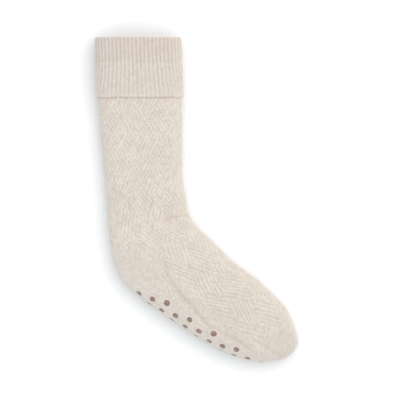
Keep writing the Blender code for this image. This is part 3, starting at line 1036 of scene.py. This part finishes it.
def cable_ridges(tree):
    """Ridges across a block, stitches and share along them, the block's number, and 1 on the foot."""
    chart = add_node(tree, "UVMap", {"uv_map": CHART_MAP})
    shifted = add_node(tree, "VectorMath", {"operation": "ADD", 1: (0.5, 0.5, 0.0)}, {0: chart})
    corner = add_node(tree, "VectorMath", {"operation": "FLOOR"}, {0: shifted})
    within = add_node(tree, "VectorMath", {"operation": "FRACTION"}, {0: shifted})
    block = add_node(tree, "SeparateXYZ", links={0: corner})
    share = add_node(tree, "SeparateXYZ", links={0: within})
    total = add_node(tree, "Math", {"operation": "ADD"}, {0: block.outputs[0], 1: block.outputs[1]})
    leans_back = add_node(tree, "Math", {"operation": "PINGPONG", 1: 1.0}, {0: total})
    across = add_node(tree, "Mix", {"data_type": "FLOAT"},
                      {0: leans_back.outputs[0], 2: share.outputs[1], 3: share.outputs[0]})
    run = add_node(tree, "Mix", {"data_type": "FLOAT"},
                   {0: leans_back.outputs[0], 2: share.outputs[0], 3: share.outputs[1]})
    foot = add_node(tree, "Math", {"operation": "GREATER_THAN", 1: 2 * FOOT_FROM_REPEAT}, {0: total})
    steepen = add_node(tree, "MapRange", {"To Min": STEEPEN_FORWARD, "To Max": STEEPEN_BACK},
                       {"Value": leans_back})
    from_middle = add_node(tree, "Math", {"operation": "SUBTRACT", 1: 0.5}, {0: run})
    turned = add_node(tree, "Math", {"operation": "MULTIPLY_ADD"},
                      {0: from_middle, 1: steepen, 2: across})
    ridges = add_node(tree, "Math", {"operation": "MULTIPLY", 1: RIDGES_IN_BLOCK}, {0: turned})
    stitches = add_node(tree, "Math", {"operation": "MULTIPLY", 1: STITCHES_ALONG_RIDGE}, {0: run})
    number = add_node(tree, "Math", {"operation": "MULTIPLY_ADD", 1: BLOCKS_IN_ROW},
                      {0: block.outputs[0], 2: block.outputs[1]})
    return ridges.outputs[0], stitches.outputs[0], run.outputs[0], number.outputs[0], foot.outputs[0]


print("stitches along a ridge:", STITCHES_ALONG_RIDGE)

# %% [markdown]
# Grooves between ridges take less light than a bump can show, so they are also a little darker. How dark
# drifts over some millimetres, because the knit is drawn tighter in places. Where the chart ends, the
# cable's shade, height and flecks pass over into those of plain knit.

# %% Cable yarn
TENSION_DRIFT = 7.0 * MM
TENSION_LOW = 0.35
TENSION_HIGH = 0.65
# Painted shade in the grooves, as a share of the yarn's colour: where the knit is tight, and where it is
# slack on the leg and on the foot
GROOVE_SHADE_TIGHT = 0.82
GROOVE_SHADE_SLACK_LEG = 0.94
GROOVE_SHADE_SLACK_FOOT = 0.88
GROOVE_SHARE = 0.3
# Painted shade where the ridges tuck under the next block
TUCK_SHADE = 0.95
PLAIN_SHADE = 0.96
RIDGE_BUMP = 1.6
LOOP_ON_RIDGE = 0.5
FLECK_ON_LEG = 1.12
FLECK_ON_FOOT = 0.96
FLECK_ON_PLAIN = 1.2


def cable_shade(tree, space, crest, run, foot):
    """Painted shade: darker grooves between the ridges, and darker ends where they tuck under the next
    block.
    """
    tension = add_node(tree, "TexNoise", {"Scale": 1 / TENSION_DRIFT, "Detail": 1.0},
                       {"Vector": space.outputs["Object"]})
    slackest = add_node(tree, "MapRange", {"To Min": GROOVE_SHADE_SLACK_LEG, "To Max": GROOVE_SHADE_SLACK_FOOT},
                        {"Value": foot})
    deepest = add_node(tree, "MapRange",
                       {"From Min": TENSION_LOW, "From Max": TENSION_HIGH, "To Min": GROOVE_SHADE_TIGHT},
                       {"Value": tension, "To Max": slackest})
    groove = add_node(tree, "MapRange",
                      {"interpolation_type": "SMOOTHSTEP", "From Max": GROOVE_SHARE},
                      {"Value": crest, "To Min": deepest})
    end = add_node(tree, "Math", {"operation": "PINGPONG", 1: 0.5}, {0: run})
    tuck = add_node(tree, "MapRange", {"From Max": TUCK_SHARE, "To Min": TUCK_SHADE}, {"Value": end})
    shade = add_node(tree, "Math", {"operation": "MULTIPLY"}, {0: groove, 1: tuck})
    return shade.outputs[0]


def cable_yarn(tree, space, plain_height, plain_fleck):
    """Shade, height and fleck of the body's yarn, in the cable blocks and in plain knit."""
    ridges, along, run, number, foot = cable_ridges(tree)
    loops, fleck = v_stitches(tree, ridges, along, number)
    crest = add_node(tree, "Math", {"operation": "PINGPONG", 1: 0.5}, {0: ridges}).outputs[0]
    shade = cable_shade(tree, space, crest, run, foot)
    low_loops = add_node(tree, "Math", {"operation": "MULTIPLY", 1: LOOP_ON_RIDGE}, {0: loops})
    raised = add_node(tree, "Math", {"operation": "MULTIPLY_ADD", 1: RIDGE_BUMP},
                      {0: crest, 2: low_loops})
    strength = add_node(tree, "MapRange", {"To Min": FLECK_ON_LEG, "To Max": FLECK_ON_FOOT},
                        {"Value": foot})
    cable_fleck = add_node(tree, "Math", {"operation": "MULTIPLY"}, {0: fleck, 1: strength})
    bold_fleck = add_node(tree, "Math", {"operation": "MULTIPLY", 1: FLECK_ON_PLAIN}, {0: plain_fleck})
    plain = add_node(tree, "Attribute", {"attribute_name": "plain"})
    both = [add_node(tree, "Mix", {"data_type": "FLOAT", 3: PLAIN_SHADE},
                     {0: plain.outputs["Fac"], 2: shade})]
    for of_cable, of_plain in ((raised.outputs[0], plain_height),
                               (cable_fleck.outputs[0], bold_fleck.outputs[0])):
        both.append(add_node(tree, "Mix", {"data_type": "FLOAT"},
                             {0: plain.outputs["Fac"], 2: of_cable, 3: of_plain}))
    return [node.outputs[0] for node in both]


print("grooves from", GROOVE_SHADE_TIGHT, "to", GROOVE_SHADE_SLACK_LEG, "of the yarn's shade")

# %% [markdown]
# A leg's random number picks its colour. A slow noise drifts the mixture towards rose over centimetres, as
# hanks of fibre do, and the top of the cuff is rosier still. Marks on the mesh paint shade into the grooves
# of the ribs and the bottoms of the creases and hollows.

# %% Colour of the yarn
CREAM = "D4CBC0"
FAWN = "C9BBB0"
STONE = "C0B9AE"
ROSE = "C6B5AD"
CREAM_UP_TO = 0.45
FAWN_AT = 0.85
SHADE_DRIFT = 16.0 * MM
DRIFT_SETTINGS = {"Scale": 1 / SHADE_DRIFT, "Detail": 3.0, "Roughness": 0.6}
DRIFT_LOW = 0.42
DRIFT_HIGH = 0.7
DRIFT_MOST = 0.4
ROSE_BAND = 0.25
# Painted shade at the bottom of a marked groove or crease, as a share of the yarn's colour, darker where
# the cuff is rosier
RIB_GROOVE = 0.80
ROSE_RIB_GROOVE = 0.75


def yarn_colour(tree, space, rose_mark, fleck):
    """Cream, fawn and stone legs, with a rose cast in places."""
    shades = add_node(tree, "ValToRGB", links={0: fleck})
    ramp = shades.color_ramp.elements
    ramp[0].color = linear(CREAM)
    ramp[0].position = CREAM_UP_TO
    ramp[1].color = linear(STONE)
    ramp[1].position = 1.0
    ramp.new(FAWN_AT).color = linear(FAWN)
    drift = add_node(tree, "TexNoise", DRIFT_SETTINGS, {"Vector": space.outputs["Object"]})
    drift_share = add_node(tree, "MapRange",
                           {"From Min": DRIFT_LOW, "From Max": DRIFT_HIGH, "To Max": DRIFT_MOST},
                           {"Value": drift})
    rose_share = add_node(tree, "Math", {"operation": "MULTIPLY_ADD", 1: ROSE_BAND},
                          {0: rose_mark, 2: drift_share})
    drifted = add_node(tree, "Mix", {"data_type": "RGBA", 7: linear(ROSE)}, {0: rose_share, 6: shades})
    return drifted.outputs[2]


def marked_shade(tree, rose_mark):
    """Painted shade that the marks on the mesh give to grooves, creases and one hollow."""
    ridge_mark = add_node(tree, "Attribute", {"attribute_name": "ridge"})
    groove = add_node(tree, "MapRange", {"To Min": RIB_GROOVE, "To Max": ROSE_RIB_GROOVE},
                      {"Value": rose_mark})
    marked = add_node(tree, "MapRange", {"To Max": 1.0},
                      {"Value": ridge_mark.outputs["Fac"], "To Min": groove})
    return marked.outputs[0]


print("yarn: cream", CREAM, "fawn", FAWN, "stone", STONE, "rose", ROSE)

# %% [markdown]
# Colour, stitches and nap come together in one yarn material, for the body with its cables and for the
# ribbed cuff without. Wool is matt, and the sheen is the pale halo that brushed wool has where it turns
# away.

# %% Heathered knit
FIBRE = 0.7 * MM
NAP_BUMP = 0.45
KNIT_BUMP = 0.55
KNIT_BUMP_HEIGHT = 0.5 * MM
KNIT_ROUGHNESS = 0.92
WOOL = {"Specular IOR Level": 0.25, "Sheen Weight": 1.0, "Sheen Roughness": 0.75,
        "Sheen Tint": linear("FBF0E5")}


def heathered_knit(name, cable):
    """Weft-knitted wool blend: matt, softly sheened, with V stitches, flecks and darker grooves."""
    material, tree, shader = new_material(name)
    space = add_node(tree, "TexCoord")
    counts = add_node(tree, "UVMap", {"uv_map": STITCH_MAP})
    split = add_node(tree, "SeparateXYZ", links={0: counts})
    height, fleck = v_stitches(tree, split.outputs[0], split.outputs[1])
    rose_mark = add_node(tree, "Attribute", {"attribute_name": "rose"}).outputs["Fac"]
    shade = marked_shade(tree, rose_mark)
    if cable:
        body_shade, height, fleck = cable_yarn(tree, space, height, fleck)
        deeper = add_node(tree, "Math", {"operation": "MULTIPLY"}, {0: shade, 1: body_shade})
        shade = deeper.outputs[0]
    colour = yarn_colour(tree, space, rose_mark, fleck)
    deepened = add_node(tree, "Mix", {"data_type": "RGBA", "blend_type": "MULTIPLY", 0: 1.0},
                        {6: colour, 7: shade})
    fibres = add_node(tree, "TexNoise", {"Scale": 1 / FIBRE, "Detail": 2.0},
                      {"Vector": space.outputs["Object"]})
    napped = add_node(tree, "Math", {"operation": "MULTIPLY_ADD", 1: NAP_BUMP}, {0: fibres, 2: height})
    bump = add_node(tree, "Bump", {"Strength": KNIT_BUMP, "Distance": KNIT_BUMP_HEIGHT},
                    {"Height": napped})
    tree.links.new(deepened.outputs[2], shader.inputs["Base Color"])
    tree.links.new(bump.outputs[0], shader.inputs["Normal"])
    for socket, value in {"Roughness": KNIT_ROUGHNESS, **WOOL}.items():
        shader.inputs[socket].default_value = value
    return material


sock_knit.data.materials.append(heathered_knit("oatmeal_wool_blend_cable_knit", cable=True))
cuff_rib.data.materials.append(heathered_knit("oatmeal_wool_blend_rib_knit", cable=False))
print("knit:", sock_knit.data.materials[0].name, "and", cuff_rib.data.materials[0].name)

# %% [markdown]
# The brushed fibres are the same wool, as mixed in colour as the yarn, but each is far too thin to show a
# stitch.

# %% Loose fibre
LOOSE_ROUGHNESS = 0.9


def loose_fibre():
    """Single wool fibres, brushed out of the yarn: matt, sheened, drifting from cream to rose."""
    material, tree, shader = new_material("oatmeal_wool_fibre_brushed")
    space = add_node(tree, "TexCoord")
    mixture = add_node(tree, "TexNoise", DRIFT_SETTINGS, {"Vector": space.outputs["Object"]})
    colour = add_node(tree, "Mix", {"data_type": "RGBA", 6: linear(CREAM), 7: linear(ROSE)}, {0: mixture})
    tree.links.new(colour.outputs[2], shader.inputs["Base Color"])
    for socket, value in {"Roughness": LOOSE_ROUGHNESS, **WOOL}.items():
        shader.inputs[socket].default_value = value
    return material


fuzz.data.materials.append(loose_fibre())
print("fibre:", fuzz.data.materials[0].name)

# %% [markdown]
# ## Rubber
# Screened rubber cures with a satin skin that has picked up the weave beneath it, so it gets a fine uneven
# bump and a mid roughness. Paler patches of a few millimetres, laid at random, break up its colour.

# %% Cured rubber
MAUVE = "775B53"
# A paler mauve, mixed in by a noise in patches of a few millimetres
MAUVE_PALE = "A0857B"
RUBBER_GRAIN = 1.1 * MM
PALE_PATCH = 2.6 * MM
PALE_FROM = 0.35
PALE_FULL = 0.65
RUBBER_BUMP = 0.35
RUBBER_BUMP_HEIGHT = 0.2 * MM
RUBBER_ROUGHNESS = 0.38
RUBBER_IOR = 1.5


def cured_rubber():
    """Screened rubber: satin, dusty mauve, with paler patches at random and a faint grain from the knit
    below.
    """
    material, tree, shader = new_material("mauve_screened_rubber")
    space = add_node(tree, "TexCoord")
    grain = add_node(tree, "TexNoise", {"Scale": 1 / RUBBER_GRAIN, "Detail": 3.0},
                     {"Vector": space.outputs["Object"]})
    patches = add_node(tree, "TexNoise", {"Scale": 1 / PALE_PATCH, "Detail": 1.0},
                       {"Vector": space.outputs["Object"]})
    paler = add_node(tree, "MapRange", {"From Min": PALE_FROM, "From Max": PALE_FULL},
                     {"Value": patches})
    colour = add_node(tree, "Mix", {"data_type": "RGBA", 6: linear(MAUVE), 7: linear(MAUVE_PALE)},
                      {0: paler})
    bump = add_node(tree, "Bump", {"Strength": RUBBER_BUMP, "Distance": RUBBER_BUMP_HEIGHT},
                    {"Height": grain})
    tree.links.new(colour.outputs[2], shader.inputs["Base Color"])
    tree.links.new(bump.outputs[0], shader.inputs["Normal"])
    shader.inputs["Roughness"].default_value = RUBBER_ROUGHNESS
    shader.inputs["IOR"].default_value = RUBBER_IOR
    return material


rubber = cured_rubber()
for dot in dots:
    dot.data.materials.clear()
    dot.data.materials.append(rubber)
print("rubber:", rubber.name)

# %% [markdown]
# ## Floor
# The sock lies on a white studio table. Matt paper and a bright, faintly cool room light it to just past
# white, so that only the soft contact shadow shows.

# %% Studio table
FLOOR_SIZE = 6.0
PAPER = "F5F5F5"
PAPER_ROUGHNESS = 1.0
ROOM_LIGHT = "F2F9FF"
ROOM_STRENGTH = 0.56

bpy.ops.object.select_all(action="DESELECT")
bpy.ops.mesh.primitive_plane_add(size=FLOOR_SIZE)
floor = bpy.context.object
floor.name = "studio_table"
# Uncoated paper, rolled flat: it gives the eye nothing but its white
paper, _, paper_shader = new_material("matt_white_paper")
paper_shader.inputs["Base Color"].default_value = linear(PAPER)
paper_shader.inputs["Roughness"].default_value = PAPER_ROUGHNESS
floor.data.materials.append(paper)

world = bpy.data.worlds.new("soft_studio")
bpy.context.scene.world = world
world.use_nodes = True
background = world.node_tree.nodes["Background"]
background.inputs["Color"].default_value = linear(ROOM_LIGHT)
background.inputs["Strength"].default_value = ROOM_STRENGTH
print("floor:", floor.name, FLOOR_SIZE, "m")

# %% [markdown]
# ## Light
# A wide soft box hangs over the table, a little to the upper right, so shadows fall softly to the lower
# left. A small pale card low at the lower left lifts the shaded edge of leg and heel, which would look
# dirty without it.

# %% Lights


def soft_light(name, shape, place, size, watts, colour):
    """An area light that faces the middle of the table."""
    bpy.ops.object.light_add(type="AREA", location=place)
    light = bpy.context.object
    light.name = name
    light.data.shape = shape
    light.data.size = size
    light.data.energy = watts
    light.data.color = linear(colour)[:3]
    light.rotation_euler = (-light.location).to_track_quat("-Z", "Y").to_euler()
    print(name, "of", watts, "W")


soft_light("wide_soft_box", "DISK", (0.34, 0.27, 1.5), size=2.4, watts=27.0, colour="FFFDFB")
soft_light("pale_fill_card", "SQUARE", (-0.64, -0.64, 0.3), size=0.7, watts=1.8, colour="ECF6FD")

# %% [markdown]
# ## Camera
# The sock is seen straight down. The camera stands well back with a long lens, so that the sock is drawn
# almost without perspective, and its distance is worked out from the width of the view at the sock's
# widest line.

# %% Camera
VIEW_WIDTH = 454.0 * MM
VIEW_MIDDLE = (4.1 * MM, -0.5 * MM)
WIDEST_HEIGHT = 20.0 * MM
LENS = 400.0
SENSOR = 36.0

distance = VIEW_WIDTH / 2 / (SENSOR / 2 / LENS)
bpy.ops.object.camera_add(location=(*VIEW_MIDDLE, WIDEST_HEIGHT + distance), rotation=(0.0, 0.0, 0.0))
camera = bpy.context.object
camera.data.lens = LENS
camera.data.sensor_width = SENSOR
bpy.context.scene.camera = camera
bpy.context.scene.view_settings.view_transform = "Standard"
print("camera", round(distance, 3), "m above the widest line")
